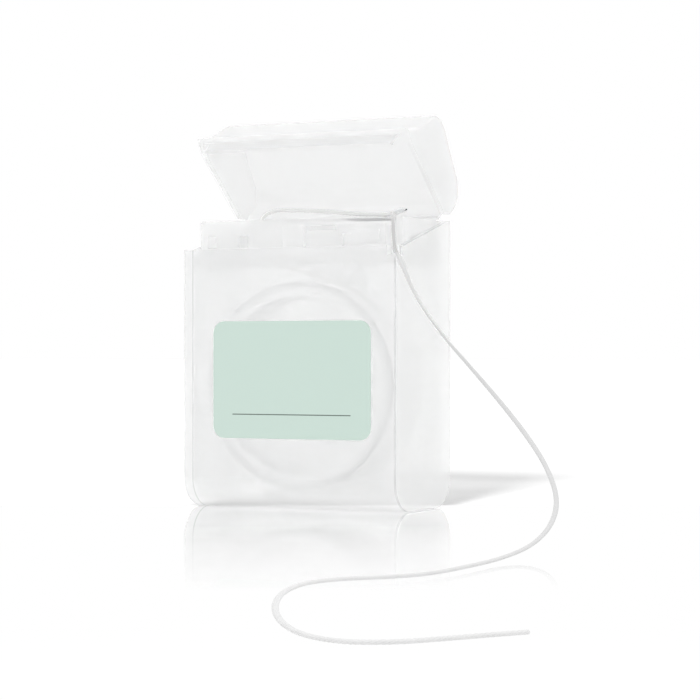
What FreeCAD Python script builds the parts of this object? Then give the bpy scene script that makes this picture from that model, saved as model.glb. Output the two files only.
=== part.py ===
import FreeCAD, Part
import math
import os

# Flip-top dental floss dispenser: a deep case, a lid on a living hinge, a guide insert with a cutter,
# a spool of wound floss and the free end of the floss lying on the table.
# Millimetres.  X is to the right, Y to the back, Z up.  The origin is the middle of the flat bottom, the
# front faces -Y, and the lid is drawn open, as the dispenser stands in use.

V = FreeCAD.Vector

# Spool and the room around it: the case is made to fit
flange_radius = 20.3
spool_flange_wall = 1.0
spool_width = 14.0
drum_step = 2.1             # drum below the flange edge
drum_wall = 0.8
web_depth = 7.6             # web behind the spool's front
web_wall = 1.0
hub_wall = 2.0
hub_stub = 1.5              # hub in front of the web
spool_side_gap = 1.9
spool_front_gap = 2.8
spool_floor_gap = 2.2
spool_head_gap = 3.6

# Axle and the arm that carries it
axle_radius = 4.0
axle_play = 0.07
axle_tip = 0.6              # axle past the hub's front end
thrust_width = 2.2          # collar between the arm and the spool
thrust_margin = 2.0         # collar wider than the axle, all round
thrust_play = 0.4
arm_margin = 2.0            # arm wider than the axle, each side
arm_wall = 2.0

# Case
side_wall = 1.3
end_wall = 1.6              # front wall, rear wall and floor
mouth_depth = 2.9           # from the front edge down to the insert's seat
side_rise = 6.0             # rear wall above the front wall
front_land = 3.3            # level stretch of each side wall's top, behind the front face
bottom_round = 6.0          # outer radius of the bottom edges, front and rear
edge_round = 0.5            # outer edges of the side faces
ledge_reach = 0.8           # inner ledges that carry the guide insert
ledge_height = 1.4
ledge_length = 12.0
rear_edge_cut = 0.6         # chamfer on the rear wall's top, outside, where the lid swings down

# Floss port: the front right corner of the case is cut down
port_width = 2.0            # along the front wall, from the right face
port_length = 2.4           # along the right wall, from the front face
port_depth = 1.75

# Lid, measured shut
lid_open = 56.0             # degrees from shut, as drawn
lid_height = 15.4           # from the case's front edge to the top
lid_top_fall = 0.7          # the top is lower at the rear by this much
lid_rear_draft = 0.4        # the rear wall leans in by this much at the top
lid_wall = 1.0
lid_seat_gap = 0.15         # between the shut lid and the case
lip_flare = 2.1             # the finger lip stands forward of the wall above it
lip_flare_height = 4.1
lip_flare_round = 7.0
front_lean = 11.5           # degrees, the front wall above the flare
front_crown = 5.0
rear_crown = 4.8
lid_edge_round = 0.6
plug_rib_wall = 0.7         # rib behind the lip that plugs into the case mouth
plug_rib_drop = 1.1
plug_rib_gap = 0.7          # from the front wall's inner face
plug_rib_inset = 0.7        # from the lid's side walls
plug_rib_clear = 2.2        # shorter at the right, beside the floss port
heel_clear = 0.75           # from the hinge axis to the heel cut of the side walls

# Living hinge
hinge_inset = 1.15          # axis in front of the rear face
hinge_lift = 0.45           # axis above the rear wall
hinge_end_gap = 2.2         # hinge ends short of the case sides
bead_radius = 0.30
bead_play = 0.06
strip_wall = 0.36
leaf_wall = 0.66
leaf_relief = 0.6           # the leaf is half its wall up to here above the axis, to clear the strip

# Guide insert
insert_play = 0.2           # around the insert in the case mouth
insert_setback = 3.9        # front skirt behind the case's front face
insert_top_drop = 0.2       # deck below the rear wall's top
deck_wall = 1.3
skirt_wall = 1.1
seat_flange_wall = 1.0
insert_corner_round = 0.5
corner_width = 2.5          # open corner at the front right, where the floss comes down
corner_depth = 2.4
guide_from_left = 10.3
guide_y = -2.0
guide_radius = 1.2
guide_lead = 0.45           # countersink of the guide hole, above and below
window_width = 7.2
window_height = 4.2
window_from_right = 17.0    # middle of the window from the insert's right end
window_drop = 1.5           # below the deck top
boss_width = 4.6            # round boss at the left of the window
boss_reach = 0.4
boss_drop = 1.2
sill_height = 0.5           # sill below the window and the boss
sill_reach = 0.4
slot_width = 2.0
slot_height = 2.3
slot_drop = 3.1
slots_from_left = (2.8, 10.1)
slots_from_right = (11.1,)
anvil_width = 5.0           # solid block below the cutter's end
anvil_depth = 4.0
anvil_height = 4.9
anvil_reach = 0.3           # the block stands proud of the skirt
stud_size = 2.3
stud_reach = 0.6
stud_drop = 2.5             # below the deck top

# Cutter
blade_wall = 0.3
blade_width = 8.2
blade_depth = 6.0
blade_from_right = 11.1     # middle of the blade from the insert's right end
blade_y = 2.0
tongue_root = 2.6           # tongue starts this far inside the blade's right end
tongue_reach = 6.2
tongue_width = 3.0
tongue_lift = 17.0          # degrees
tooth_count = 4
tooth_depth = 0.55
stake_radius = 0.5
stake_play = 0.08
stake_proud = 0.3
stake_inset = 1.6           # from the blade's left end and from its front and rear

# Floss
floss_width = 0.7
pack_wall = 0.65
wind_pitch = 1.16
wind_end_gap = 0.4          # between the end turns and the flanges
wind_seat = 0.05            # between the turns and the pack below them
pack_play = 0.05            # between the pack and the spool
feed_gap = 0.3              # between the outer turns and the strand that leaves them
feed_angle = 46.0           # degrees, where it leaves them, from the right

# Label
label_width = 34.6
label_height = 22.9
label_x = 0.8
label_bottom = 13.8
label_round = 2.4
label_wall = 0.12

# Free end of the floss over the table: to the right of the case, in front of it, and height
tail_places = [
    (7.5, 6.8, 40.4), (15.4, 13.1, 33.8), (24.3, 20.3, 28.0), (33.8, 28.6, 21.9), (42.9, 37.8, 16.1),
    (49.5, 45.8, 11.5), (54.4, 53.9, 7.2), (56.5, 62.0, 3.8), (57.2, 71.6, 1.5), (57.4, 83.6, 0.6),
    (58.1, 96.6, 0.6), (57.9, 109.1, 0.6), (54.9, 115.8, 0.6), (50.6, 120.2, 0.6), (48.5, 126.8, 0.6),
    (50.5, 136.1, 0.6), (54.7, 146.4, 0.6), (60.7, 157.8, 0.6), (68.0, 169.2, 0.6), (75.1, 177.2, 0.6),
    (81.1, 179.8, 0.6), (85.7, 177.4, 0.6), (89.0, 172.4, 0.6), (91.7, 167.6, 0.6), (94.6, 163.1, 0.6)]

# Worked out from the sizes above
case_width = 2 * (flange_radius + spool_side_gap + side_wall)
carrier_room = thrust_play + thrust_width + arm_wall + insert_play
case_depth = 2 * end_wall + spool_front_gap + spool_width + carrier_room
spool_z = end_wall + spool_floor_gap + flange_radius
insert_bottom = spool_z + flange_radius + spool_head_gap
front_height = insert_bottom + mouth_depth
rear_height = front_height + side_rise
front_y = -case_depth / 2
rear_y = case_depth / 2
half_width = case_width / 2
inner_half = half_width - side_wall
inner_front = front_y + end_wall
inner_rear = rear_y - end_wall
hinge_y = rear_y - hinge_inset
hinge_z = rear_height + hinge_lift
hinge_half = half_width - hinge_end_gap
deck_top = rear_height - insert_top_drop
insert_half = inner_half - insert_play
insert_front = front_y + insert_setback
insert_rear = inner_rear - insert_play
spool_front = inner_front + spool_front_gap
spool_rear = spool_front + spool_width
arm_front = insert_rear - arm_wall
drum_radius = flange_radius - drum_step
pack_radius = drum_radius + pack_play + pack_wall
hub_front = spool_front + web_depth - hub_stub
hub_radius = axle_radius + axle_play + hub_wall
guide_x = guide_from_left - insert_half
blade_x = insert_half - blade_from_right
corner_x = insert_half - corner_width
corner_y = insert_front + corner_depth
window_x = insert_half - window_from_right
window_left, window_right = window_x - window_width / 2, window_x + window_width / 2
window_top = deck_top - window_drop
window_bottom = window_top - window_height
beyond = 5.0                # how far a cutting shape runs past what it cuts


def box(x0, x1, y0, y1, z0, z1):
    """Block between two corners."""
    return Part.makeBox(x1 - x0, y1 - y0, z1 - z0, V(x0, y0, z0))


def rod_x(y, z, radius, x0, x1):
    """Round bar along X."""
    return Part.makeCylinder(radius, x1 - x0, V(x0, y, z), V(1, 0, 0))


def rod_y(x, z, radius, y0, y1):
    """Round bar along Y."""
    return Part.makeCylinder(radius, y1 - y0, V(x, y0, z), V(0, 1, 0))


def rod_z(x, y, radius, z0, z1):
    """Round bar along Z."""
    return Part.makeCylinder(radius, z1 - z0, V(x, y, z0), V(0, 0, 1))


def in_yz(a, b):
    """Point of a side-view outline."""
    return V(0, a, b)


def in_xy(a, b):
    """Point of a plan outline."""
    return V(a, b, 0)


def in_xz(a, b):
    """Point of a front-view outline."""
    return V(a, 0, b)


def rounded_face(points, place):
    """Flat face inside a closed outline of (a, b, radius) corners, each rounded by its radius."""
    arcs = []
    count = len(points)
    for i, (a, b, radius) in enumerate(points):
        corner = place(a, b)
        into = (corner - place(*points[i - 1][:2])).normalize()
        out = (place(*points[(i + 1) % count][:2]) - corner).normalize()
        if radius <= 0:
            arcs.append((corner, None, corner))
            continue
        half_turn = into.getAngle(out) / 2
        reach = radius * math.tan(half_turn)
        towards_centre = (out - into).normalize()
        crown = corner + towards_centre * (radius / math.cos(half_turn) - radius)
        arcs.append((corner - into * reach, crown, corner + out * reach))
    edges = []
    for i, (start, crown, end) in enumerate(arcs):
        if crown is not None:
            edges.append(Part.Arc(start, crown, end).toShape())
        following = arcs[(i + 1) % count][0]
        if end.distanceToPoint(following) > 1e-6:
            edges.append(Part.makeLine(end, following))
    return Part.Face(Part.Wire(edges))


def inset(points, amounts):
    """The outline with side i, from corner i to the next, moved inwards by amounts[i]; radii follow."""
    count = len(points)
    area = sum(points[i - 1][0] * p[1] - p[0] * points[i - 1][1] for i, p in enumerate(points))
    turn = 1 if area > 0 else -1
    sides = []
    for i, (a, b, _) in enumerate(points):
        na, nb, _ = points[(i + 1) % count]
        length = math.hypot(na - a, nb - b)
        da, db = (na - a) / length, (nb - b) / length
        sides.append((a - turn * db * amounts[i], b + turn * da * amounts[i], da, db))
    moved = []
    for i, (_, _, radius) in enumerate(points):
        a0, b0, da0, db0 = sides[i - 1]
        a1, b1, da1, db1 = sides[i]
        cross = da0 * db1 - db0 * da1
        along = ((a1 - a0) * db1 - (b1 - b0) * da1) / cross
        grows = -1 if cross * turn > 0 else 1
        moved_radius = max(radius + grows * amounts[i], 0) if radius > 0 else 0
        moved.append((a0 + along * da0, b0 + along * db0, moved_radius))
    return moved


def prism_x(points, x0, x1):
    """Side-view outline carried from x0 to x1."""
    face = rounded_face(points, in_yz)
    face.translate(V(x0, 0, 0))
    return face.extrude(V(x1 - x0, 0, 0))


def prism_z(points, z0, z1):
    """Plan outline carried from z0 to z1."""
    face = rounded_face(points, in_xy)
    face.translate(V(0, 0, z0))
    return face.extrude(V(0, 0, z1 - z0))


def round_side_edges(shape, radius, open_corners):
    """Round the outer edges of both side faces, apart from those between the open corners."""
    chosen = []
    for edge in shape.Edges:
        ends = [vertex.Point for vertex in edge.Vertexes]
        if len(ends) < 2 or abs(abs(ends[0].x) - half_width) > 1e-6 or abs(ends[0].x - ends[1].x) > 1e-6:
            continue
        at_open = [any(math.hypot(p.y - a, p.z - b) < 1e-6 for a, b, *_ in open_corners) for p in ends]
        if not all(at_open):
            chosen.append(edge)
    return shape.makeFillet(radius, chosen)


def case_body():
    """Deep one-piece case: rounded below, open above, its side walls rising to the rear."""
    rim = [(front_y, front_height, 0), (front_y + front_land, front_height, 0), (rear_y, rear_height, 0)]
    outline = [(front_y, 0, bottom_round)] + rim + [(rear_y, 0, bottom_round)]
    shell = prism_x(outline, -half_width, half_width)
    shell = round_side_edges(shell, edge_round, rim)
    inner_round = bottom_round - end_wall
    top = rear_height + beyond
    hollow = prism_x([(inner_front, end_wall, inner_round), (inner_front, top, 0),
                      (inner_rear, top, 0), (inner_rear, end_wall, inner_round)], -inner_half, inner_half)
    shell = shell.cut(hollow)
    for side in (-1, 1):
        ledge = box(inner_half - ledge_reach, inner_half + side_wall / 2, -ledge_length / 2,
                    ledge_length / 2, insert_bottom - ledge_height, insert_bottom)
        if side < 0:
            ledge = ledge.mirror(V(0, 0, 0), V(1, 0, 0))
        shell = shell.fuse(ledge)
    port = box(half_width - port_width, half_width + beyond, front_y - beyond, front_y + port_length,
               front_height - port_depth, rear_height)
    rear_cut = prism_x([(rear_y + 1, rear_height + 1, 0), (rear_y - rear_edge_cut - 1, rear_height + 1, 0),
                        (rear_y + 1, rear_height - rear_edge_cut - 1, 0)],
                       -half_width - 1, half_width + 1)
    return shell.cut(port).cut(rear_cut).removeSplitter()


def living_hinge():
    """Bending strip on the rear wall: a thin strip that ends in the round bead the lid turns on."""
    strip = box(-hinge_half, hinge_half, hinge_y - strip_wall / 2, hinge_y + strip_wall / 2,
                rear_height, hinge_z)
    return strip.fuse(rod_x(hinge_y, hinge_z, bead_radius, -hinge_half, hinge_half)).removeSplitter()


def lid_outline():
    """Side view of the shut lid, from the lip's lower edge over the top to the heel and back."""
    seat = front_height + lid_seat_gap
    top = front_height + lid_height
    crease_y = front_y + lip_flare
    crease_z = seat + lip_flare_height
    rear = hinge_y + leaf_wall / 2
    slope = side_rise / (case_depth - front_land)
    cos_open, sin_open = math.cos(math.radians(lid_open)), math.sin(math.radians(lid_open))
    # The heel cut lies level when the lid is open as drawn, heel_clear above the hinge axis
    heel_z = hinge_z + (heel_clear + (rear - hinge_y) * sin_open) / cos_open
    land_y = front_y + front_land
    toe_y = ((seat - slope * land_y - hinge_z) * cos_open + hinge_y * sin_open - heel_clear)
    toe_y /= sin_open - slope * cos_open
    toe_z = seat + slope * (toe_y - land_y)
    return [(front_y, seat, 0), (crease_y, crease_z, lip_flare_round),
            (crease_y + (top - crease_z) * math.tan(math.radians(front_lean)), top, front_crown),
            (rear - lid_rear_draft, top - lid_top_fall, rear_crown), (rear, heel_z, 0), (toe_y, toe_z, 0),
            (land_y, seat, 0)]


def lid():
    """Flip-top with a flared lip, a plug rib behind it and a leaf that rides on the hinge bead."""
    outline = lid_outline()
    walls = [lid_wall] * 4 + [-beyond] * 3
    shell = prism_x(outline, -half_width, half_width)
    shell = round_side_edges(shell, lid_edge_round, outline[4:] + outline[:1])
    inner = half_width - lid_wall
    shell = shell.cut(prism_x(inset(outline, walls), -inner, inner))
    rib_front = inner_front + plug_rib_gap
    lean = lip_flare / lip_flare_height
    rib_top = front_height + lid_seat_gap + (rib_front + plug_rib_wall - front_y - lid_wall / 2) / lean
    rib = box(-inner + plug_rib_inset, inner - plug_rib_inset - plug_rib_clear, rib_front,
              rib_front + plug_rib_wall, front_height + lid_seat_gap - plug_rib_drop, rib_top)
    heel_z = outline[4][1]
    leaf = box(-hinge_half, hinge_half, hinge_y - leaf_wall / 2, hinge_y + leaf_wall / 2,
               hinge_z, heel_z + lid_wall)
    groove = rod_x(hinge_y, hinge_z, bead_radius + bead_play, -half_width, half_width)
    relief = box(-half_width, half_width, hinge_y, hinge_y + leaf_wall, hinge_z, hinge_z + leaf_relief)
    shape = shell.fuse([rib, leaf]).cut([groove, relief]).removeSplitter()
    shape.rotate(V(0, hinge_y, hinge_z), V(1, 0, 0), -lid_open)
    return shape


def stake_spots():
    """Places of the two stakes that hold the blade."""
    x = blade_x - blade_width / 2 + stake_inset
    return [(x, blade_y + side * (blade_depth / 2 - stake_inset)) for side in (-1, 1)]


def skirt_details():
    """What stands on the insert's front: seat flange, boss, sill, block under the cutter and its stud."""
    back = insert_front + skirt_wall
    boss_radius = (boss_width ** 2 / 4 + boss_reach ** 2) / (2 * boss_reach)
    boss_left = window_left - boss_width
    boss = rod_z(window_left - boss_width / 2, insert_front - boss_reach + boss_radius, boss_radius,
                 insert_bottom, deck_top - boss_drop)
    boss = boss.common(box(boss_left, window_left, insert_front - boss_reach, back, insert_bottom, deck_top))
    sill = box(boss_left, window_right, insert_front - sill_reach, back,
               window_bottom - sill_height, window_bottom)
    flange = box(-insert_half, insert_half, inner_front + insert_play, back,
                 insert_bottom, insert_bottom + seat_flange_wall)
    anvil = box(corner_x - anvil_width, corner_x, insert_front - anvil_reach, insert_front + anvil_depth,
                deck_top - anvil_height, deck_top)
    stud_x = corner_x - anvil_width / 2
    stud_z = deck_top - stud_drop
    stud = box(stud_x - stud_size / 2, stud_x + stud_size / 2, insert_front - stud_reach, back,
               stud_z - stud_size, stud_z)
    return [flange, boss, sill, anvil, stud]


def axle_carrier():
    """Arm down the rear of the insert, with a thrust collar and the axle that the spool turns on."""
    arm_half = axle_radius + arm_margin
    arm_top = insert_bottom + seat_flange_wall
    return [box(-arm_half, arm_half, arm_front, insert_rear, spool_z, arm_top),
            rod_y(0, spool_z, arm_half, arm_front, insert_rear),
            rod_y(0, spool_z, axle_radius + thrust_margin, spool_rear + thrust_play, arm_front),
            rod_y(0, spool_z, axle_radius, hub_front - axle_tip, arm_front)]


def insert_openings():
    """Window and slots through the front skirt, and the guide hole through the deck, eased at both ends."""
    front, back = insert_front - beyond, insert_front + skirt_wall + beyond / 10
    openings = [box(window_left, window_right, front, back, window_bottom, window_top)]
    slot_places = [left - insert_half for left in slots_from_left]
    slot_places += [insert_half - right for right in slots_from_right]
    slot_top = deck_top - slot_drop
    for x in slot_places:
        left, right = x - slot_width / 2, x + slot_width / 2
        openings.append(box(left, right, front, back, slot_top - slot_height, slot_top))
    under = deck_top - deck_wall
    wide = guide_radius + guide_lead
    openings.append(rod_z(guide_x, guide_y, guide_radius, under - beyond, deck_top + beyond))
    lead_top, lead_under = V(guide_x, guide_y, deck_top - guide_lead), V(guide_x, guide_y, under)
    openings.append(Part.makeCone(guide_radius, wide, guide_lead, lead_top))
    openings.append(Part.makeCone(wide, guide_radius, guide_lead, lead_under))
    return openings


def guide_insert():
    """Frame in the case mouth: a deck on a skirt, open at one corner, with an arm that holds the axle."""
    corner = insert_corner_round
    plan = [(-insert_half, insert_front, corner), (corner_x, insert_front, corner), (corner_x, corner_y, 0),
            (insert_half, corner_y, corner), (insert_half, insert_rear, corner),
            (-insert_half, insert_rear, corner)]
    under = deck_top - deck_wall
    shape = prism_z(plan, insert_bottom, deck_top)
    shape = shape.cut(prism_z(inset(plan, [skirt_wall] * len(plan)), insert_bottom - beyond, under))
    stake_top = deck_top + blade_wall + stake_proud
    stakes = [rod_z(x, y, stake_radius, deck_top - deck_wall / 2, stake_top) for x, y in stake_spots()]
    shape = shape.fuse(skirt_details() + axle_carrier() + stakes)
    return shape.cut(insert_openings()).removeSplitter()


def cutter_blade():
    """Thin steel plate staked to the deck, with a toothed tongue bent up from it."""
    right = blade_x + blade_width / 2
    top = deck_top + blade_wall
    plate = box(right - blade_width, right, blade_y - blade_depth / 2, blade_y + blade_depth / 2,
                deck_top, top)
    for x, y in stake_spots():
        plate = plate.cut(rod_z(x, y, stake_radius + stake_play, deck_top - 1, top + 1))
    root = right - tongue_root
    tip = root + tongue_reach
    front = blade_y - tongue_width / 2
    pitch = tongue_width / tooth_count
    edge = [(root, front, 0), (tip - tooth_depth, front, 0)]
    for i in range(tooth_count):
        edge.append((tip, front + (i + 0.5) * pitch, 0))
        edge.append((tip - tooth_depth, front + (i + 1) * pitch, 0))
    edge.append((root, front + tongue_width, 0))
    tongue = prism_z(edge, deck_top, top)
    tongue.rotate(V(root, 0, deck_top), V(0, 1, 0), -tongue_lift)
    return plate.fuse(tongue).removeSplitter()


def spool():
    """One-piece spool: a hollow drum between two flanges, with a web inside that carries the bored hub."""
    drum_inside = drum_radius - drum_wall
    web_front = spool_front + web_depth
    shape = rod_y(0, spool_z, drum_radius, spool_front, spool_rear)
    shape = shape.fuse(rod_y(0, spool_z, flange_radius, spool_front, spool_front + spool_flange_wall))
    shape = shape.fuse(rod_y(0, spool_z, flange_radius, spool_rear - spool_flange_wall, spool_rear))
    shape = shape.cut(rod_y(0, spool_z, drum_inside, spool_front - 1, web_front))
    shape = shape.cut(rod_y(0, spool_z, drum_inside, web_front + web_wall, spool_rear + 1))
    shape = shape.fuse(rod_y(0, spool_z, hub_radius, hub_front, spool_rear))
    bore = rod_y(0, spool_z, axle_radius + axle_play, spool_front - 1, spool_rear + 1)
    return shape.cut(bore).removeSplitter()


def floss_pack():
    """Wound floss below the outer layer."""
    start = spool_front + spool_flange_wall + pack_play
    end = spool_rear - spool_flange_wall - pack_play
    ring = rod_y(0, spool_z, pack_radius, start, end)
    return ring.cut(rod_y(0, spool_z, drum_radius + pack_play, start, end))


def biarc(start, start_way, end, end_way):
    """Two arcs that leave start along start_way, meet smoothly and reach end along end_way."""
    chord = end - start
    ways = start_way + end_way
    spare = 4 - ways.dot(ways)
    reach = (math.sqrt(chord.dot(ways) ** 2 + spare * chord.dot(chord)) - chord.dot(ways)) / spare
    first, second = start + start_way * reach, end - end_way * reach
    joint = (first + second) * 0.5
    edges = []
    for a, apex, b in ((start, first, joint), (joint, second, end)):
        middle = (a + b) * 0.5
        half_chord = a.distanceToPoint(b) / 2
        half_turn = (apex - a).getAngle(b - a)
        bulge = (apex - middle).normalize() * (half_chord * math.tan(half_turn / 2))
        edges.append(Part.Arc(a, middle + bulge, b).toShape())
    return edges


def swept_tube(edges, width):
    """Round tube of the given width along joined edges."""
    path = Part.Wire(edges)
    start = path.Edges[0].firstVertex().Point
    way = path.Edges[0].tangentAt(path.Edges[0].FirstParameter)
    ring = Part.Wire(Part.makeCircle(width / 2, start, way))
    return path.makePipeShell([ring], True, False), path.Length


def floss_winding():
    """Outer layer of floss: one helix of turns over the pack, with straight ends."""
    radius = pack_radius + wind_seat + floss_width / 2
    room = spool_width - 2 * (spool_flange_wall + wind_end_gap) - floss_width
    turns = int(room / wind_pitch)
    first_y = (spool_front + spool_rear - turns * wind_pitch) / 2
    quarter = math.pi / 2
    rise = wind_pitch / 4

    def spot(step):
        angle = step * quarter
        return V(radius * math.cos(angle), first_y + step * rise, spool_z + radius * math.sin(angle))

    def way(step):
        angle = step * quarter
        return V(-radius * quarter * math.sin(angle), rise, radius * quarter * math.cos(angle)).normalize()

    steps = 4 * turns
    edges = [Part.makeLine(spot(0) - way(0) * floss_width, spot(0))]
    for step in range(steps):
        edges += biarc(spot(step), way(step), spot(step + 1), way(step + 1))
    edges.append(Part.makeLine(spot(steps), spot(steps) + way(steps) * floss_width))
    samples = [spot(i / 8) for i in range(8 * steps + 1)]
    lap = 16                # half a turn of samples: nearer ones are neighbours along the strand
    nearest = min(a.distanceToPoint(b) for i, a in enumerate(samples) for b in samples[i + lap:])
    least = nearest - floss_width
    shape, length = swept_tube(edges, floss_width)
    print(f"winding: {turns} turns, least gap {least:.3f}, volume over section x length "
          f"{shape.Volume / (math.pi * floss_width ** 2 / 4 * length):.4f}")
    return shape


def feed_route():
    """Strand inside: off the outer turn, through the guide hole, past the cutter, out of the port."""
    leave = pack_radius + wind_seat + floss_width + feed_gap + floss_width / 2
    across, up = math.cos(math.radians(feed_angle)), math.sin(math.radians(feed_angle))
    start_x, start_z = leave * across, spool_z + leave * up
    first_run = 6.0
    hole_y = guide_y
    tongue_side = blade_y - tongue_width / 2
    return [V(start_x, hole_y + 1.0, start_z),
            V(start_x - first_run * up, hole_y + 0.9, start_z + first_run * across),
            V(guide_x + 14.6, hole_y + 0.6, insert_bottom - 3.1),
            V(guide_x + 8.5, hole_y + 0.2, insert_bottom - 1.1),
            V(guide_x + 3.3, hole_y, insert_bottom + 0.5),
            V(guide_x + 0.5, hole_y, insert_bottom + 3.6),
            V(guide_x - 0.05, hole_y, deck_top - 1.5),
            V(guide_x + 0.4, hole_y, deck_top + 1.2),
            V(guide_x + 3.2, hole_y + 0.2, deck_top + 2.3),
            V(guide_x + 8.3, hole_y + 0.5, deck_top + 2.1),
            V(blade_x - 8.3, tongue_side - 1.6, deck_top + 1.7),
            V(blade_x - 2.5, tongue_side - 1.1, deck_top + 1.1),
            V(blade_x + 2.3, tongue_side - 0.8, deck_top + 0.8),
            V(blade_x + 5.9, tongue_side - 2.4, deck_top + 0.8),
            V(corner_x, corner_y + 1.0, deck_top + 0.9),
            V(corner_x + 0.7, corner_y - 1.0, deck_top),
            V(corner_x + 1.5, corner_y - 2.6, front_height + 2.9),
            V(inner_half, inner_front + 0.15, front_height - 0.35),
            V(half_width + 0.3, front_y - 0.35, front_height - 1.55)]


def tail_route():
    """Free end: straight on out of the port, then down to the table and along it."""
    before, port_exit = feed_route()[-2:]
    ahead = port_exit + (port_exit - before) * 1.8
    places = [V(half_width + right, front_y - forward, height) for right, forward, height in tail_places]
    return [port_exit, ahead] + places


def strand(points, name):
    """Floss along a route: straight runs joined by arcs as large as the runs allow."""
    edges = []
    radii = []
    start = points[0]
    for before, corner, after in zip(points, points[1:], points[2:]):
        into, out = corner - before, after - corner
        half_turn = into.getAngle(out) / 2
        reach = 0.45 * min(into.Length, out.Length)
        radius = reach / math.tan(half_turn)
        into.normalize()
        out.normalize()
        crown = corner + (out - into).normalize() * (radius / math.cos(half_turn) - radius)
        edges.append(Part.makeLine(start, corner - into * reach))
        edges.append(Part.Arc(corner - into * reach, crown, corner + out * reach).toShape())
        start = corner + out * reach
        radii.append(radius)
    edges.append(Part.makeLine(start, points[-1]))
    shape, length = swept_tube(edges, floss_width)
    print(f"{name}: length {length:.1f}, volume over section x length "
          f"{shape.Volume / (math.pi * floss_width ** 2 / 4 * length):.4f}, "
          f"radii {' '.join(f'{r:.1f}' for r in radii)}")
    return shape


def front_label():
    """Thin rounded label on the front wall."""
    left, right = label_x - label_width / 2, label_x + label_width / 2
    top = label_bottom + label_height
    face = rounded_face([(left, label_bottom, label_round), (right, label_bottom, label_round),
                         (right, top, label_round), (left, top, label_round)], in_xz)
    face.translate(V(0, front_y - label_wall, 0))
    return face.extrude(V(0, label_wall, 0))


def main():
    nodes = {
        "case_body": case_body(), "living_hinge": living_hinge(), "lid": lid(),
        "guide_insert": guide_insert(), "cutter_blade": cutter_blade(), "spool": spool(),
        "floss_pack": floss_pack(), "floss_winding": floss_winding(),
        "floss_feed": strand(feed_route(), "floss_feed"), "floss_tail": strand(tail_route(), "floss_tail"),
        "front_label": front_label()}
    os.makedirs("parts", exist_ok=True)
    for name, shape in nodes.items():
        shape.exportStep(f"parts/{name}.step")
        print(f"{name}: {len(shape.Solids)} solid, valid {shape.isValid()}, volume {shape.Volume:.1f}")


main()
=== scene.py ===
# %% [markdown]
# # A frosted flip-top floss dispenser
# The dispenser is a pale case of frosted plastic with its lid open. A guide insert with a small steel
# cutter fills the case's mouth, a spool turns inside, and a loose end of floss leaves by the front
# right corner and runs along the table. The rigid pieces arrive ready made, in metres, so this lesson
# dresses them: it sets the camera and the light, lays the floss, and mixes the plastics, the steel and
# the label film.

# %% The ready-made pieces
import math

import bpy
import numpy as np
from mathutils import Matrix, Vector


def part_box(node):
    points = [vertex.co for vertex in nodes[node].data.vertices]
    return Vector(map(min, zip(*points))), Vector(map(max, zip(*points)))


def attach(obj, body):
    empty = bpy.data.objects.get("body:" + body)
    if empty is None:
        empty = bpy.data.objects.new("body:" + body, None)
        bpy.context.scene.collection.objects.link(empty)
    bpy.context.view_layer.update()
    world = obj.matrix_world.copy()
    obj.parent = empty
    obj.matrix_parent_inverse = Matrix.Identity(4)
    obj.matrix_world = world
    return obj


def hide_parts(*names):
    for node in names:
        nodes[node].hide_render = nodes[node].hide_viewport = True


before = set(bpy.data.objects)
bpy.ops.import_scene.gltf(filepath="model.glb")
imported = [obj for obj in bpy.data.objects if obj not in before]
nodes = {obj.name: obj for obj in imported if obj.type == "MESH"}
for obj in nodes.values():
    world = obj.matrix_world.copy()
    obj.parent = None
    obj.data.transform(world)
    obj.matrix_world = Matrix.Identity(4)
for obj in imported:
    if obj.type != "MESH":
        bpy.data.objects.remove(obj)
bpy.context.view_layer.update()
MM = 0.001
case_low, case_high = (np.array(corner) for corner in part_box("case_body"))
print("pieces:", ", ".join(sorted(nodes)))

# %% [markdown]
# ## Camera
# The dispenser is seen almost level, from its right front. A long lens keeps the upright edges
# parallel. The place and the lens could be guessed by eye, but they follow from the case's known width
# and its edges in the picture, so they are written down as measured.

# %% Camera
PICTURE_PIXELS = 700
VIEW_TURN = math.radians(27.0)
VIEW_PLACE = (0.21273, -0.40315, 0.03048)
LENS_MM = 118.02
SENSOR_MM = 36.0
HORIZON_SHIFT = 3 / PICTURE_PIXELS


def set_camera():
    """Level camera, turned about the upright axis."""
    data = bpy.data.cameras.new("camera")
    data.lens = LENS_MM
    data.sensor_width = SENSOR_MM
    data.shift_y = HORIZON_SHIFT
    camera = bpy.data.objects.new("camera", data)
    camera.location = VIEW_PLACE
    camera.rotation_euler = (math.pi / 2, 0.0, VIEW_TURN)
    bpy.context.scene.collection.objects.link(camera)
    bpy.context.scene.camera = camera


set_camera()
bpy.context.scene.view_settings.view_transform = "Standard"
print("camera set,", LENS_MM, "mm lens")

# %% [markdown]
# ## Surfaces from numbers
# Every new piece below is a grid of points: one direction runs along the piece, the other goes round
# it. The helpers turn such a grid into a mesh with a UV map, so that a finish can follow the surface.

# %% Grid helpers
LINE_STEPS = 24


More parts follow.
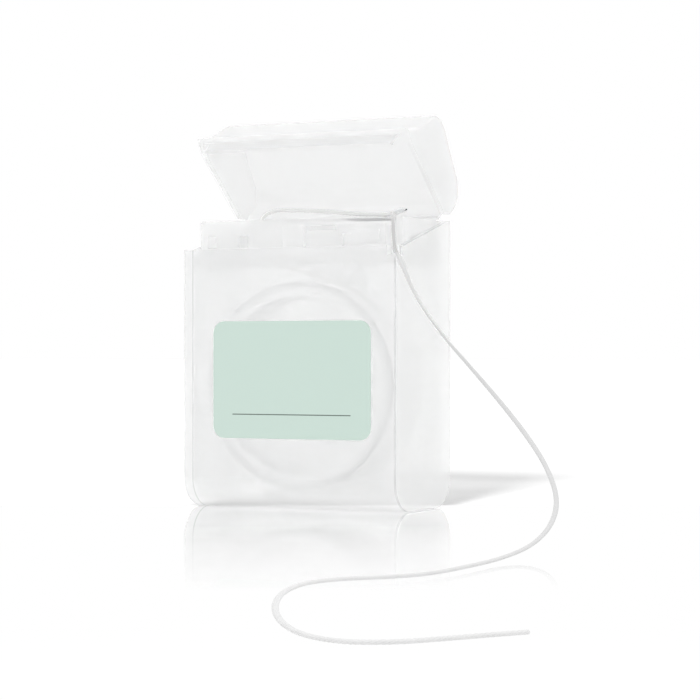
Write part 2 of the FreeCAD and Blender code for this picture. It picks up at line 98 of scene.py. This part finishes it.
def grid_mesh(name, points, closed_along=False):
    """Mesh of a grid of points, rows along the piece and columns round it.
    Each cell is a quad; the columns always close into a ring.  An open piece gets a fan of triangles
    on a middle point at each end.  U counts rows from 0 to 1, V goes once round."""
    rows, columns = points.shape[:2]
    cells = rows if closed_along else rows - 1
    i, j = (a.ravel() for a in np.meshgrid(np.arange(cells), np.arange(columns), indexing="ij"))
    here, there = i * columns, (i + 1) % rows * columns
    after = (j + 1) % columns
    faces = np.stack([here + j, there + j, there + after, here + after], axis=1).tolist()
    u0, u1, v0, v1 = i / cells, (i + 1) / cells, j / columns, (j + 1) / columns
    uv = np.stack([u0, v0, u1, v0, u1, v1, u0, v1], axis=1).ravel()
    vertices = points.reshape(-1, 3)
    if not closed_along:
        ring = np.arange(columns)
        middles = points[[0, -1]].mean(axis=1)
        start, end = len(vertices), len(vertices) + 1
        last = (rows - 1) * columns
        vertices = np.concatenate([vertices, middles])
        beside = (ring + 1) % columns
        faces += np.stack([np.full(columns, start), ring, beside], axis=1).tolist()
        faces += np.stack([np.full(columns, end), last + beside, last + ring], axis=1).tolist()
        uv = np.concatenate([uv, np.zeros(columns * 6), np.ones(columns * 6)])
    mesh = bpy.data.meshes.new(name)
    mesh.from_pydata(vertices.tolist(), [], faces)
    mesh.uv_layers.new(name="UVMap").data.foreach_set("uv", uv.astype(np.float32))
    mesh.polygons.foreach_set("use_smooth", np.ones(len(faces), bool))
    piece = bpy.data.objects.new(name, mesh)
    bpy.context.scene.collection.objects.link(piece)
    return piece


def spaced(points, step):
    """Points of the line an even step apart, found by interpolating along its length, and that length."""
    along = np.concatenate([[0.0], np.cumsum(np.linalg.norm(np.diff(points, axis=0), axis=1))])
    marks = np.linspace(0.0, along[-1], int(along[-1] / step) + 1)
    return np.stack([np.interp(marks, along, points[:, axis]) for axis in range(3)], axis=1), along[-1]


def tube_points(path, radius, upright, sides, flat=1.0, turn=0.0, lobes=0, groove=0.0, twist=1.0):
    """Tube round a path: path + side * w cos(a) + up * h sin(a), with w = r * flat and h = r / flat.
    The side is square to the path and to the upright direction, then turned; flat and turn may change
    along the path.  With lobes, r dips between them by the groove's share, and they wind round once per
    twist length."""
    way = np.gradient(path, axis=0)
    way /= np.linalg.norm(way, axis=1, keepdims=True)
    side = np.cross(way, upright)
    side /= np.linalg.norm(side, axis=1, keepdims=True)
    up = np.cross(side, way)
    turn, flat = (np.broadcast_to(rows, len(path))[:, None] for rows in (turn, flat))
    wide = side * np.cos(turn) + up * np.sin(turn)
    thin = up * np.cos(turn) - side * np.sin(turn)
    angle = np.linspace(0.0, 2 * np.pi, sides, endpoint=False)[None, :]
    step = np.linalg.norm(np.diff(path, axis=0), axis=1)
    along = np.concatenate([[0.0], np.cumsum(step)])[:, None]
    r = np.full((len(path), sides), radius)
    if lobes:
        r = radius * (1 - groove * (1 - np.abs(np.cos(lobes * (angle - 2 * np.pi * along / twist) / 2))))
    return (path[:, None] + wide[:, None] * (flat * r * np.cos(angle))[..., None]
            + thin[:, None] * (r / flat * np.sin(angle))[..., None])


def smooth_line(name, route):
    """Points of a NURBS line that has the route's points as its control points."""
    curve = bpy.data.curves.new(name, "CURVE")
    curve.dimensions = "3D"
    spline = curve.splines.new("NURBS")
    spline.points.add(len(route) - 1)
    spline.points.foreach_set("co", np.column_stack([route, np.ones(len(route))]).ravel())
    spline.order_u = 3
    spline.use_endpoint_u = True
    spline.resolution_u = LINE_STEPS
    guide = bpy.data.objects.new(name, curve)
    bpy.context.scene.collection.objects.link(guide)
    line = bpy.data.meshes.new_from_object(guide.evaluated_get(bpy.context.evaluated_depsgraph_get()))
    points = np.empty(len(line.vertices) * 3)
    line.vertices.foreach_get("co", points)
    bpy.data.objects.remove(guide)
    return points.reshape(-1, 3)


# %% [markdown]
# ## Floss
# Floss is a bundle of fine fibres, plied and lightly waxed. A plain round tube would read as wire, so
# the section has lobes that wind round it, and the free end is pressed flat where it leaves the case,
# turns over as it hangs and rounds off again. It drops to the table and lies there in loose bends, and
# the photograph shows it from end to end. Both strands follow a smooth NURBS line guided by the points
# of the solids' routes. The strand inside has one point more, just before the port, which keeps the
# smooth line clear of the shut lid.

# %% Floss routes
FLOSS_WIDTH = 0.7 * MM
PLY_TWIST = 4.2 * MM
PLY_COUNT = 6
PLY_GROOVE = 0.2
BUNDLE_FLAT = 1.65
BUNDLE_REST = 1.25
TAPE_TURN = math.radians(90)
MOST_TURNS = 2.0
TURN_FROM, TURN_TO = 4 * MM, 42 * MM
END_STEP, INSIDE_STEP = 0.18 * MM, 0.15 * MM
STRAND_SIDES = 24

feed_route = MM * np.array([
    (14.10, -1.0, 38.70), (9.79, -1.1, 42.87), (2.9, -1.4, 44.9), (-3.2, -1.8, 46.9), (-8.4, -2.0, 48.5),
    (-11.2, -2.0, 51.6), (-11.75, -2.0, 55.2), (-11.3, -2.0, 57.9), (-8.5, -1.8, 59.0), (-3.4, -1.5, 58.8),
    (2.6, -1.1, 58.4), (8.4, -0.6, 57.8), (13.2, -0.3, 57.5), (16.8, -1.9, 57.5), (19.5, -5.1, 57.6),
    (20.2, -7.1, 56.7), (21.0, -8.7, 53.8), (22.2, -10.65, 50.55), (23.64, -12.54, 49.47),
    (23.8, -12.75, 49.35)])

tail_places = MM * np.array([
    (0.3, 0.35, 49.35), (3.18, 4.13, 47.19), (7.5, 6.8, 40.4), (15.4, 13.1, 33.8), (24.3, 20.3, 28.0),
    (33.8, 28.6, 21.9), (42.9, 37.8, 16.1), (49.5, 45.8, 11.5), (54.4, 53.9, 7.2), (56.5, 62.0, 3.8),
    (57.2, 71.6, 1.5), (57.4, 83.6, 0.6), (58.1, 96.6, 0.6), (57.9, 109.1, 0.6), (54.9, 115.8, 0.6),
    (50.6, 120.2, 0.6), (48.5, 126.8, 0.6), (50.5, 136.1, 0.6), (54.7, 146.4, 0.6), (60.7, 157.8, 0.6),
    (68.0, 169.2, 0.6), (75.1, 177.2, 0.6), (81.1, 179.8, 0.6), (85.7, 177.4, 0.6), (89.0, 172.4, 0.6),
    (91.7, 167.6, 0.6), (94.6, 163.1, 0.6)])
right, forward, height = tail_places.T
tail_route = np.column_stack([case_high[0] + right, case_low[1] - forward, height])


def floss_strand(name, route, upright, step, flat=(1.0, 1.0), turned=0.0):
    """Plied floss along a route; returns the piece, its line and its length.
    It starts round and grows flat, then turns on itself and rounds off again as it goes."""
    line, length = spaced(smooth_line(name + "_line", route), step)
    along = np.linspace(0.0, length, len(line))
    turn = turned * np.clip((along - TURN_FROM) / (TURN_TO - TURN_FROM), 0.0, MOST_TURNS)
    flatness = np.interp(along, (0.0, TURN_FROM, TURN_TO), (1.0, *flat))
    points = tube_points(line, FLOSS_WIDTH / 2, upright, STRAND_SIDES, flatness, turn,
                         PLY_COUNT, PLY_GROOVE, PLY_TWIST)
    piece = grid_mesh(name, points)
    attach(piece, "case")
    print(f"{name}: {length * 1000:.1f} mm, {len(piece.data.polygons)} faces")
    return piece, line, length


floss_end, tail_line, tail_length = floss_strand("floss_end", tail_route, (0, 0, 1), END_STEP,
                                                  (BUNDLE_FLAT, BUNDLE_REST), TAPE_TURN)
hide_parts("floss_tail")
floss_inside, _, _ = floss_strand("floss_inside", feed_route, (0, 1, 0), INSIDE_STEP)
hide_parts("floss_feed")

# %% [markdown]
# ## Wound floss
# On the spool the floss lies turn beside turn. The outer layer is one helix: the angle runs on while
# the strand creeps along the drum. Below it only ridges show, so the inner layers are a ring with a
# ridged skin.

# %% Outer layer and the layers below
pack_low, pack_high = (np.array(corner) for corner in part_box("floss_pack"))
spool_x, spool_z = (pack_low[0] + pack_high[0]) / 2, (pack_low[2] + pack_high[2]) / 2
pack_radius = (pack_high[2] - pack_low[2]) / 2
spool_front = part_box("spool")[0][1]
TURN_PITCH = 0.73 * MM
TURN_SEAT = 0.05 * MM
TURN_STEPS, TURN_SIDES = 96, 10
RIDGE_DEPTH = 0.06 * MM
RIDGE_POINTS = 161
RING_WALL = 0.6 * MM
RING_STEPS = 180


def outer_turns():
    """Helix: x = R cos t, z = R sin t, y grows by one pitch per turn."""
    radius = pack_radius + TURN_SEAT + FLOSS_WIDTH / 2
    room = pack_high[1] - pack_low[1] - FLOSS_WIDTH
    turns = int(room / TURN_PITCH)
    angle = np.linspace(0.0, 2 * np.pi * turns, turns * TURN_STEPS + 1)
    first = (pack_low[1] + pack_high[1] - turns * TURN_PITCH) / 2
    path = np.stack([spool_x + radius * np.cos(angle), first + TURN_PITCH * angle / (2 * np.pi),
                     spool_z + radius * np.sin(angle)], axis=1)
    return grid_mesh("floss_outer_turns", tube_points(path, FLOSS_WIDTH / 2, (0, 1, 0), TURN_SIDES)), turns


def inner_layers():
    """Ring whose section is a box with a ridged outer side, carried once round the axle."""
    ridges = np.linspace(0.0, 1.0, RIDGE_POINTS)
    y = pack_low[1] + ridges * (pack_high[1] - pack_low[1])
    skin = pack_radius - RIDGE_DEPTH * np.abs(np.sin(np.pi * (y - pack_low[1]) / TURN_PITCH))
    inside = pack_radius - RING_WALL
    profile = np.concatenate([np.column_stack([skin, y]), [[inside, y[-1]], [inside, y[0]]]])
    angle = np.linspace(0.0, 2 * np.pi, RING_STEPS, endpoint=False)[:, None]
    r, along = profile[:, 0][None, :], profile[:, 1][None, :]
    x, z = spool_x + r * np.cos(angle), spool_z + r * np.sin(angle)
    points = np.stack(np.broadcast_arrays(x, along, z), axis=2)
    return grid_mesh("floss_inner_layers", points, closed_along=True)


turns_piece, turn_count = outer_turns()
layers_piece = inner_layers()
for piece, node in ((turns_piece, "floss_winding"), (layers_piece, "floss_pack")):
    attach(piece, "spool")
    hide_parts(node)
print("outer layer:", turn_count, "turns")

# %% [markdown]
# ## Finishes
# Each finish is a short network of nodes that ends in one Principled shader. It could be wired by hand
# in the shader editor; a small class with short calls keeps the networks readable here. Colours are
# written as they look in plain light, and patterns read the piece's own coordinates, so they stay on it
# when it moves.

# %% Node helpers


def colour(hex_text):
    """Linear colour of an sRGB hex code."""
    srgb = np.array([int(hex_text[i:i + 2], 16) / 255 for i in (0, 2, 4)])
    linear = np.where(srgb <= 0.04045, srgb / 12.92, ((srgb + 0.055) / 1.055) ** 2.4)
    return (*linear.tolist(), 1.0)


WHITE = colour("ffffff")


class Finish:
    """A material with a Principled shader, and short calls that add the nodes feeding it."""

    def __init__(self, name):
        self.material = bpy.data.materials.new(name)
        self.material.use_nodes = True
        self.tree = self.material.node_tree
        self.shader = self.tree.nodes["Principled BSDF"]

    def add(self, kind, values=(), **settings):
        """New node: settings are its own properties, values its sockets or the outputs that feed them."""
        node = self.tree.nodes.new(kind)
        for key, value in settings.items():
            setattr(node, key, value)
        for socket, value in dict(values).items():
            self.feed(node.inputs[socket], value)
        return node

    def feed(self, socket, value):
        """Set a socket, or link an output to it."""
        if isinstance(value, bpy.types.NodeSocket):
            self.tree.links.new(value, socket)
        else:
            socket.default_value = value

    def set(self, **values):
        """Set or link the shader's sockets; spaces in their names are written as underscores."""
        for name, value in values.items():
            self.feed(self.shader.inputs[name.replace("_", " ")], value)

    def where(self):
        """Place on the piece, in its own coordinates."""
        return self.add("ShaderNodeTexCoord").outputs["Object"]

    def axes(self, vector):
        """The X, Y and Z of a vector."""
        return self.add("ShaderNodeSeparateXYZ", {0: vector}).outputs

    def along(self):
        """Share of the piece's length, from 0 at its start to 1 at its end."""
        return self.axes(self.add("ShaderNodeTexCoord").outputs["UV"])["X"]

    def facing(self, axis):
        """How squarely a face looks along an axis, either way: 1 when it does, 0 when it is edge on."""
        normal = self.add("ShaderNodeNewGeometry").outputs["True Normal"]
        return self.calculate("ABSOLUTE", self.axes(normal)[axis])

    def calculate(self, operation, *numbers):
        """One Math node."""
        return self.add("ShaderNodeMath", enumerate(numbers), operation=operation).outputs[0]

    def combine(self, operation, *vectors):
        """One Vector Math node."""
        return self.add("ShaderNodeVectorMath", enumerate(vectors), operation=operation).outputs

    def noise(self, scale, detail=3.0, vector=None):
        """Cloudy pattern of numbers about 0.5; a larger scale makes it finer."""
        values = {"Scale": scale, "Detail": detail, "Vector": vector or self.where()}
        return self.add("ShaderNodeTexNoise", values).outputs["Fac"]

    def spread(self, value, low, high, at_low, at_high):
        """A number that changes from one level to another while the value goes from low to high."""
        values = {"Value": value, "From Min": low, "From Max": high, "To Min": at_low, "To Max": at_high}
        return self.add("ShaderNodeMapRange", values).outputs["Result"]

    def blend(self, factor, first, second):
        """Colour between two colours."""
        node = self.add("ShaderNodeMix", data_type="RGBA")
        self.feed(node.inputs["Factor"], factor)
        self.feed(node.inputs["A"], first)
        self.feed(node.inputs["B"], second)
        return node.outputs["Result"]

    def bump(self, height, strength, depth):
        """Tilt the surface's shading as a relief of this height and depth would."""
        values = {"Height": height, "Strength": strength, "Distance": depth}
        self.set(Normal=self.add("ShaderNodeBump", values).outputs["Normal"])

    def scatter(self, weight, distance):
        """Let light soak in and come out again within about this distance, the same for all colours."""
        self.set(Subsurface_Weight=weight, Subsurface_Radius=(1.0, 1.0, 1.0), Subsurface_Scale=distance)

    def wear(self, *pieces):
        """Give the finish to these pieces."""
        for piece in pieces:
            piece.data.materials.clear()
            piece.data.materials.append(self.material)
        print(self.material.name, "on", ", ".join(piece.name for piece in pieces))


# %% [markdown]
# ## Floss finish
# Floss is white, but a single strand against a white room looks grey, and many turns packed together
# look white, because light soaks into the bundle. One white for all of them would lose the strand on
# the table. So the loose end has painted shade: a grey-white, greyest where it hangs from the case, that
# grows lighter along its UV map. The wound floss scatters light under its skin, and the strand inside
# changes from that scattering white to the painted grey where it leaves the case.

# %% Floss finish
FIBRE_GRAIN = 9000.0
FIBRE_DEPTH = 0.02 * MM
BUNDLE_SCATTER = 2.0 * MM
LYING_FROM, LYING_TO = 0.35, 0.7
LEAVING_FROM, LEAVING_TO = 0.84, 0.9
PACKED_WHITE = colour("fbfbfa")


def floss_fibre():
    """Waxed fibre with painted shade: greyer where it hangs in the case's shade, lighter where it lies on
    the table.
    """
    finish = Finish("floss_fibre")
    fibre = finish.noise(FIBRE_GRAIN, detail=2.0)
    # painted shade: the strand is greyer where it hangs from the case and lighter out on the table
    shaded_hanging = finish.blend(fibre, colour("cbcbcb"), colour("dddddd"))
    lying = finish.blend(fibre, colour("dcdcdc"), colour("ebebeb"))
    on_table = finish.spread(finish.along(), LYING_FROM, LYING_TO, 0.0, 1.0)
    finish.set(Base_Color=finish.blend(on_table, shaded_hanging, lying), Roughness=0.6)
    finish.bump(fibre, strength=0.3, depth=FIBRE_DEPTH)
    return finish


def wound_floss(name):
    """The same fibre packed close: light soaks into the bundle and comes out again."""
    finish = Finish(name)
    finish.set(Base_Color=PACKED_WHITE, Roughness=0.5)
    finish.scatter(1.0, BUNDLE_SCATTER)
    finish.bump(finish.noise(FIBRE_GRAIN, detail=2.0), strength=0.3, depth=FIBRE_DEPTH)
    return finish


def inner_floss():
    """Pale and scattering inside the case, as the wound floss is, and painted grey shade where it comes
    out.
    """
    finish = wound_floss("inner_floss")
    # painted shade: the strand turns grey where it leaves the case, like the hanging end
    out = finish.spread(finish.along(), LEAVING_FROM, LEAVING_TO, 0.0, 1.0)
    finish.set(Base_Color=finish.blend(out, colour("d6d6d5"), colour("cdcdcd")))
    finish.set(Subsurface_Weight=finish.calculate("SUBTRACT", 1.0, out))
    return finish


floss_fibre().wear(floss_end)
inner_floss().wear(floss_inside)
wound_floss("wound_floss").wear(turns_piece, layers_piece)

# %% [markdown]
# ## Frosted plastic
# Case, lid and insert are natural polypropylene with a fine grain: light passes, shapes blur. A rough
# glass shader could give that, but behind two walls it goes grey and noisy. Here Alpha lets part of the
# light straight through, and Subsurface makes the rest soak into the wall and come out pale. The side
# walls are seen at a slant, through more plastic, so they are denser; at two corners of the case the
# eye looks along a wall, and a thin line of painted shade marks each.

# %% Case, lid and insert
WALL_SCATTER = 3.0 * MM
GRAIN_DEPTH = 0.01 * MM
CLOUD_SCALE = 90.0
CASE_GRAIN, INSERT_GRAIN = 7000.0, 6000.0
FRONT_ALPHA, SIDE_ALPHA, LID_ALPHA, INSERT_ALPHA = 0.28, 0.42, 0.36, 0.36
SIDE_FROM, SIDE_TO = 0.6, 0.8
LEFT_SHADE_LINE, LEFT_SHADE_HALF = 2.2 * MM, 0.15 * MM
RIGHT_SHADE_LINE, RIGHT_SHADE_HALF = 0.35 * MM, 0.2 * MM


def frosted(name, alpha, roughness, grain):
    """Pale plastic that scatters light through its wall and lets the rest pass straight."""
    finish = Finish(name)
    finish.pale = finish.blend(finish.noise(CLOUD_SCALE), colour("e9eaea"), colour("efefef"))
    finish.set(Base_Color=finish.pale, Roughness=roughness, IOR=1.49, Alpha=alpha)
    finish.scatter(1.0, WALL_SCATTER)
    finish.bump(finish.noise(grain, detail=2.0), strength=0.15, depth=GRAIN_DEPTH)
    return finish


def case_plastic():
    """Frosted plastic with a thin line of painted shade at two corners: inside the left wall, outside the
    right.
    """
    finish = frosted("case_plastic", FRONT_ALPHA, roughness=0.3, grain=CASE_GRAIN)
    x = finish.axes(finish.where())["X"]
    # painted shade: a thin dark line where the eye looks along each of two walls
    inside = finish.calculate("COMPARE", x, case_low[0] + LEFT_SHADE_LINE, LEFT_SHADE_HALF)
    outside = finish.calculate("COMPARE", x, case_high[0] - RIGHT_SHADE_LINE, RIGHT_SHADE_HALF)
    line = finish.calculate("MAXIMUM", inside, outside)
    finish.set(Base_Color=finish.blend(line, finish.pale, colour("c4c6c6")))
    finish.set(Alpha=finish.spread(finish.facing("X"), SIDE_FROM, SIDE_TO, FRONT_ALPHA, SIDE_ALPHA))
    return finish


case_plastic().wear(nodes["case_body"], nodes["living_hinge"])
frosted("lid_plastic", LID_ALPHA, roughness=0.3, grain=CASE_GRAIN).wear(nodes["lid"])
frosted("insert_plastic", INSERT_ALPHA, roughness=0.35, grain=INSERT_GRAIN).wear(nodes["guide_insert"])

# %% [markdown]
# ## Spool plastic
# Through the front wall the spool shows as pale rings. They come from depth: the flange's rim and the
# bore of the drum are seen through more plastic than the flat flange. Real light would draw them only
# faintly through a frosted wall, so the finish knows its distance from the axle and paints shade on
# those two rings itself: a rim that darkens towards its edge, and a bore that is darkest near the front.

# %% Spool
WEB_FROM, WEB_TO = 17.0 * MM, 17.3 * MM
BORE_FROM, BORE_TO = 17.2 * MM, 17.35 * MM
DRUM_FROM, DRUM_TO = 17.5 * MM, 17.6 * MM
RIM_FROM, RIM_TO = 18.2 * MM, 20.3 * MM
FLANGE_FROM, FLANGE_TO = 1.2 * MM, 1.4 * MM
SHADE_FROM, SHADE_TO = 1.0 * MM, 6.0 * MM
BORE_SHADE, WEB_ALPHA = 0.5, 0.6


def spool_plastic():
    """Natural plastic with painted shade at the front flange's rim and down the drum's bore, thin in the
    web.
    """
    finish = frosted("spool_plastic", alpha=1.0, roughness=0.45, grain=INSERT_GRAIN)
    where = finish.where()
    from_axle = finish.combine("SUBTRACT", where, (spool_x, 0.0, spool_z))[0]
    across = finish.combine("MULTIPLY", from_axle, (1.0, 0.0, 1.0))[0]
    radius = finish.combine("LENGTH", across)["Value"]
    depth = finish.calculate("SUBTRACT", finish.axes(where)["Y"], spool_front)
    on_flange = finish.spread(depth, FLANGE_FROM, FLANGE_TO, 1.0, 0.0)
    # painted shade: the flange darkens towards its rim, and the bore is darkest near its front
    rim = finish.calculate("MULTIPLY", finish.spread(radius, RIM_FROM, RIM_TO, 0.0, 1.0), on_flange)
    past_web = finish.spread(radius, BORE_FROM, BORE_TO, 0.0, 1.0)
    in_bore = finish.spread(radius, DRUM_FROM, DRUM_TO, 1.0, 0.0)
    fading = finish.spread(depth, SHADE_FROM, SHADE_TO, BORE_SHADE, 0.0)
    bore = finish.calculate("MULTIPLY", finish.calculate("MULTIPLY", past_web, in_bore), fading)
    painted_ring_shade = finish.calculate("MAXIMUM", rim, bore)
    finish.set(Base_Color=finish.blend(painted_ring_shade, colour("f9f9f9"), colour("d8d9d9")), Subsurface_Weight=0.3)
    finish.set(Alpha=finish.spread(radius, WEB_FROM, WEB_TO, WEB_ALPHA, 1.0))
    return finish


spool_plastic().wear(nodes["spool"])

# %% [markdown]
# ## Cutter steel
# The cutter is rolled strip: its faces are bright and finely brushed along the strip. Its sheared front
# edge and the tip of the tongue sit in shade and look dark, but a single metal would make the edge as
# bright as the face, so the finish paints that shade on and tells the two apart by the way a face looks
# and by its place.

# %% Cutter
BRUSH_STRETCH = (0.05, 1.0, 1.0)
BRUSH_SCALE = 9000.0
DARK_EDGE, EDGE_BLUR = 0.14 * MM, 0.08 * MM
TIP_LENGTH, TIP_SIDE, TIP_BLUR = 1.0 * MM, 0.5 * MM, 0.2 * MM
UPRIGHT_FROM, UPRIGHT_TO = 0.3, 0.6
blade_low, blade_high = (np.array(corner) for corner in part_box("cutter_blade"))


def cutter_steel():
    """Rolled steel: bright faces brushed along the strip, and painted shade on the front edge and the
    tongue's tip.
    """
    finish = Finish("cutter_steel")
    where = finish.where()
    stretched = finish.combine("MULTIPLY", where, BRUSH_STRETCH)[0]
    brushed = finish.noise(BRUSH_SCALE, detail=2.0, vector=stretched)
    face = finish.blend(brushed, colour("e0e2e4"), colour("f2f3f4"))
    place = finish.axes(where)
    edge_top = blade_low[2] + DARK_EDGE
    plate = finish.spread(place["Z"], edge_top, edge_top + EDGE_BLUR, 1.0, 0.0)
    tip_start = blade_high[0] - TIP_LENGTH
    end = finish.spread(place["X"], tip_start, tip_start + TIP_BLUR, 0.0, 1.0)
    tip_side = (blade_low[1] + blade_high[1]) / 2 + TIP_SIDE
    far_side = finish.spread(place["Y"], tip_side, tip_side + TIP_BLUR, 0.0, 1.0)
    # painted shade: the upright faces of the front edge and of the tongue's tip are dark
    may_be_dark = finish.calculate("MAXIMUM", plate, finish.calculate("MULTIPLY", end, far_side))
    edge = finish.spread(finish.facing("Z"), UPRIGHT_FROM, UPRIGHT_TO, 1.0, 0.0)
    painted_edge_shade = finish.calculate("MULTIPLY", edge, may_be_dark)
    finish.set(Base_Color=finish.blend(painted_edge_shade, face, colour("2c2e34")))
    finish.set(Metallic=1.0, Roughness=finish.spread(brushed, 0.0, 1.0, 0.22, 0.36))
    return finish


cutter_steel().wear(nodes["cutter_blade"])

# %% [markdown]
# ## Label film
# The label is a thin printed film. A flat colour would look like a hole in the plastic, so a fine print
# grain changes its tone and its gloss a little, and one thin plain rule crosses its lower part.

# %% Label
PRINT_GRAIN = 5200.0
RULE_HEIGHT = 4.7 * MM
RULE_WIDTH = 0.2 * MM
RULE_LENGTH = 26.0 * MM
label_low, label_high = (np.array(corner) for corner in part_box("front_label"))


def label_film():
    """Printed film: a fine print grain, and a rule where both X and Z lie within its length and width."""
    finish = Finish("label_film")
    where = finish.where()
    place = finish.axes(where)
    grain = finish.noise(PRINT_GRAIN, vector=where)
    film = finish.blend(grain, colour("c7dad1"), colour("ccdfd6"))
    level = finish.calculate("COMPARE", place["Z"], label_low[2] + RULE_HEIGHT, RULE_WIDTH / 2)
    middle = (label_low[0] + label_high[0]) / 2
    across = finish.calculate("COMPARE", place["X"], middle, RULE_LENGTH / 2)
    rule = finish.calculate("MULTIPLY", level, across)
    finish.set(Base_Color=finish.blend(rule, film, colour("5f6d66")))
    finish.set(Roughness=finish.spread(grain, 0.0, 1.0, 0.4, 0.5))
    finish.bump(grain, strength=0.1, depth=GRAIN_DEPTH)
    return finish


label_film().wear(nodes["front_label"])

# %% [markdown]
# ## Table
# The case stands on white, and its image fades away towards the camera. A glossy table of one polish
# would mirror the whole case, so the polish falls off with the distance in front of the case. It shows
# only at a low angle, as on a real table, and only to the camera, so that it throws no stray light back
# on the case. Behind the case the table is plain and matt, and catches the shadow.

# %% Table
TABLE_HALF = 8.0
FLOOR_GAP = 0.05 * MM
POLISH_WAY = (0.47, -0.88, 0.0)
POLISH_EDGE = -4 * MM
POLISH_FROM, POLISH_TO = 50 * MM, 160 * MM
SHINE_FROM, SHINE_TO = 0.72, 0.88


def table_finish():
    """Matt white, and in front of the case a mirror that fades into white along the polish way."""
    finish = Finish("table_top")
    finish.set(Base_Color=colour("d4d4d4"), Roughness=1.0, Specular_IOR_Level=0.0)
    along = finish.combine("DOT_PRODUCT", finish.where(), POLISH_WAY)["Value"]
    fade = finish.spread(along, POLISH_FROM, POLISH_TO, 1.0, 0.0)
    mirror = finish.add("ShaderNodeBsdfGlossy", {"Color": WHITE, "Roughness": 0.02})
    white = finish.add("ShaderNodeEmission", {"Color": WHITE, "Strength": 1.0})
    polished = finish.add("ShaderNodeMixShader", {0: fade, 1: white.outputs[0], 2: mirror.outputs[0]})
    grazing = finish.add("ShaderNodeLayerWeight", {"Blend": 0.5}).outputs["Facing"]
    shine = finish.spread(grazing, SHINE_FROM, SHINE_TO, 0.0, 1.0)
    seen = finish.calculate("MULTIPLY", shine, finish.add("ShaderNodeLightPath").outputs["Is Camera Ray"])
    share = finish.calculate("MULTIPLY", finish.calculate("GREATER_THAN", along, POLISH_EDGE), seen)
    matt = finish.shader.outputs[0]
    mix = finish.add("ShaderNodeMixShader", {0: share, 1: matt, 2: polished.outputs[0]})
    finish.feed(finish.tree.nodes["Material Output"].inputs["Surface"], mix.outputs[0])
    return finish


def make_table():
    """One large square, just below the bottom of the case."""
    mesh = bpy.data.meshes.new("table")
    corners = [(-TABLE_HALF, -TABLE_HALF), (TABLE_HALF, -TABLE_HALF), (TABLE_HALF, TABLE_HALF),
               (-TABLE_HALF, TABLE_HALF)]
    mesh.from_pydata([(x, y, -FLOOR_GAP) for x, y in corners], [], [(0, 1, 2, 3)])
    piece = bpy.data.objects.new("table", mesh)
    bpy.context.scene.collection.objects.link(piece)
    table_finish().wear(piece)
    return piece


table = make_table()

# %% [markdown]
# ## Light
# The room is white and even. One soft sun behind the camera, to its left, throws the pale shadow; a few
# weak lamps lift single pieces, as a photographer's cards would. A closed frosted case would make its
# own inside dark, and rendering all the light that bounces in there takes many samples. So the pieces
# inside throw no shadow on the walls and are left out of the light that bounces from wall to wall. The
# loose end is too thin to leave a shadow in such soft light, so it throws none either.

# %% Surround and lamps


def white_surround(strength):
    """Even light, and plain white where the camera, a reflection or a see-through surface looks at it."""
    world = bpy.data.worlds.new("surround")
    bpy.context.scene.world = world
    world.use_nodes = True
    tree = world.node_tree
    seen = tree.nodes["Background"]
    light = tree.nodes.new("ShaderNodeBackground")
    for background, level in ((seen, 1.0), (light, strength)):
        background.inputs["Color"].default_value = WHITE
        background.inputs["Strength"].default_value = level
    path = tree.nodes.new("ShaderNodeLightPath")
    share = path.outputs["Is Camera Ray"]
    for ray in ("Is Glossy Ray", "Is Transmission Ray"):
        either = tree.nodes.new("ShaderNodeMath")
        either.operation = "MAXIMUM"
        tree.links.new(share, either.inputs[0])
        tree.links.new(path.outputs[ray], either.inputs[1])
        share = either.outputs[0]
    mix = tree.nodes.new("ShaderNodeMixShader")
    tree.links.new(share, mix.inputs[0])
    tree.links.new(light.outputs[0], mix.inputs[1])
    tree.links.new(seen.outputs[0], mix.inputs[2])
    tree.links.new(mix.outputs[0], tree.nodes["World Output"].inputs["Surface"])


def sun(name, direction, strength, softness, lit, shadow=True):
    """Parallel light from a direction, for some pieces only; softness in degrees blurs its shadow."""
    data = bpy.data.lights.new(name, "SUN")
    data.energy = strength
    data.angle = math.radians(softness)
    data.use_shadow = shadow
    lamp = bpy.data.objects.new(name, data)
    x, y, z = direction
    lamp.rotation_euler = (math.atan2(math.hypot(x, y), z), 0.0, math.atan2(x, -y))
    bpy.context.scene.collection.objects.link(lamp)
    group = bpy.data.collections.new(name + "_lights")
    for piece in lit:
        group.objects.link(piece)
    lamp.light_linking.receiver_collection = group


shell_names = ("case_body", "lid", "living_hinge", "guide_insert", "cutter_blade")
shell_pieces = [nodes[name] for name in shell_names]
wound_pieces = [nodes["spool"], turns_piece, layers_piece]
white_surround(strength=1.0)
sun("shadow_sun", (0.19, -0.98, 0.6), strength=3.8, softness=9, lit=[table])
sun("top_lamp", (0.0, 0.1, 1.0), strength=0.5, softness=16, lit=shell_pieces + [floss_end])
sun("table_bounce", (0.0, -0.15, -0.98), strength=0.6, softness=60, lit=[nodes["case_body"]], shadow=False)
sun("front_lamp", (0.3, -0.95, 0.1), strength=0.3, softness=60, lit=wound_pieces, shadow=False)
for piece in wound_pieces + [nodes["guide_insert"], nodes["front_label"], floss_inside]:
    piece.visible_shadow = False
    piece.visible_diffuse = False
floss_end.visible_shadow = False
print("surround and", len(bpy.data.lights), "lamps set")
